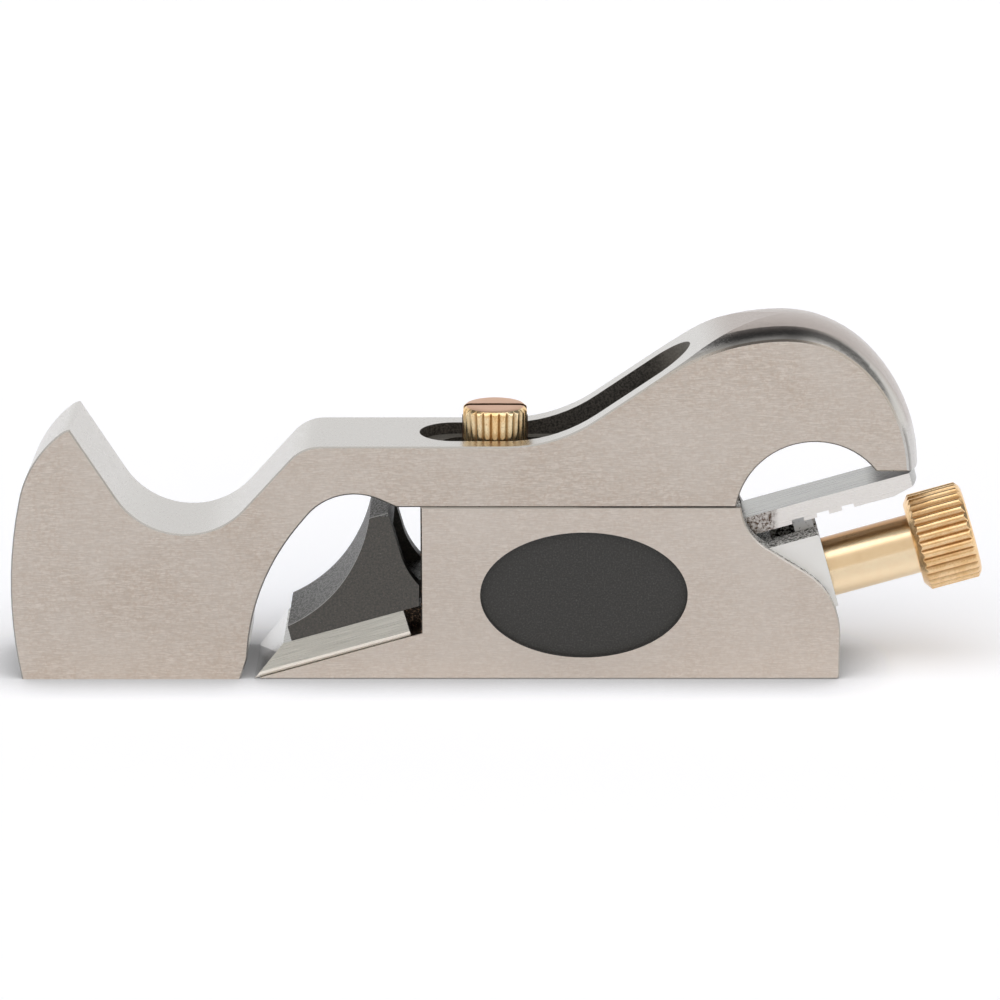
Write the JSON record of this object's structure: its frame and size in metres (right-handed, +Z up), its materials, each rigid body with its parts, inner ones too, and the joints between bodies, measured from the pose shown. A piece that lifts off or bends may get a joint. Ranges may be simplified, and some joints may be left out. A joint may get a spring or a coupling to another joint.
{
  "type": "shoulder plane",
  "caption": "Slim metal shoulder plane: adjustable nose casting with a palm rest, low-angle iron under a lever cap, lock screw and feed knob.",
  "frame": {"origin": "middle of the sole's length, on the sole and in the middle of its width", "axes": "+X from the toe towards the knob along the sole, +Y across the sole to the far side, +Z up from the sole"},
  "size_m": [0.1665, 0.019, 0.0622],
  "materials": {
    "ground_casting": "ground",
    "ground_body": "ground, dark panels",
    "iron_steel": "ground",
    "cap_casting": "dark, as cast",
    "pin_steel": "ground",
    "cap_screw_steel": "turned",
    "lock_screw_brass": "turned and fluted",
    "knob_brass": "turned and knurled",
    "feed_screw_steel": "turned",
    "dog_steel": "plain"
  },
  "bodies": {
    "frame": {"lower_body": "ground_body", "lever_cap_pin": "pin_steel"},
    "nose": {"upper_body": "ground_casting"},
    "iron": {"blade": "iron_steel", "adjuster_dog": "dog_steel"},
    "feed_screw": {"adjuster_screw": "feed_screw_steel", "adjuster_knob": "knob_brass"},
    "cap": {"lever_cap": "cap_casting"},
    "cap_screw": {"lever_cap_screw": "cap_screw_steel"},
    "clamp_screw": {"lock_screw": "lock_screw_brass"}
  },
  "joints": [
    {"name": "nose_slide", "type": "slide", "parent": "frame", "child": "nose", "axis": [1, 0, 0], "range_m": [-0.0025, 0.0015]},
    {"name": "adjuster_turn", "type": "hinge", "parent": "iron", "child": "feed_screw", "pos_m": [0.06897, 0, 0.01733], "axis": [-0.9613, 0, -0.2756], "range_deg": [-720, 360]},
    {"name": "iron_advance", "type": "slide", "parent": "frame", "child": "iron", "axis": [-0.9613, 0, -0.2756], "range_m": [-0.0016, 0.0008]},
    {"name": "cap_pivot", "type": "hinge", "parent": "frame", "child": "cap", "pos_m": [0.01936, 0, 0.02349], "axis": [0, 1, 0], "range_deg": [0, 1.2]},
    {"name": "cap_screw_turn", "type": "hinge", "parent": "cap", "child": "cap_screw", "pos_m": [0.03306, 0, 0.02648], "axis": [-0.2756, 0, 0.9613], "range_deg": [0, 360]},
    {"name": "lock_screw_turn", "type": "hinge", "parent": "frame", "child": "clamp_screw", "pos_m": [0.01115, 0, 0.035], "axis": [0, 0, 1], "range_deg": [0, 360]}
  ],
  "couplings": [
    {"joint": "adjuster_turn", "follows": "iron_advance", "rad_per_m": 7854}
  ]
}
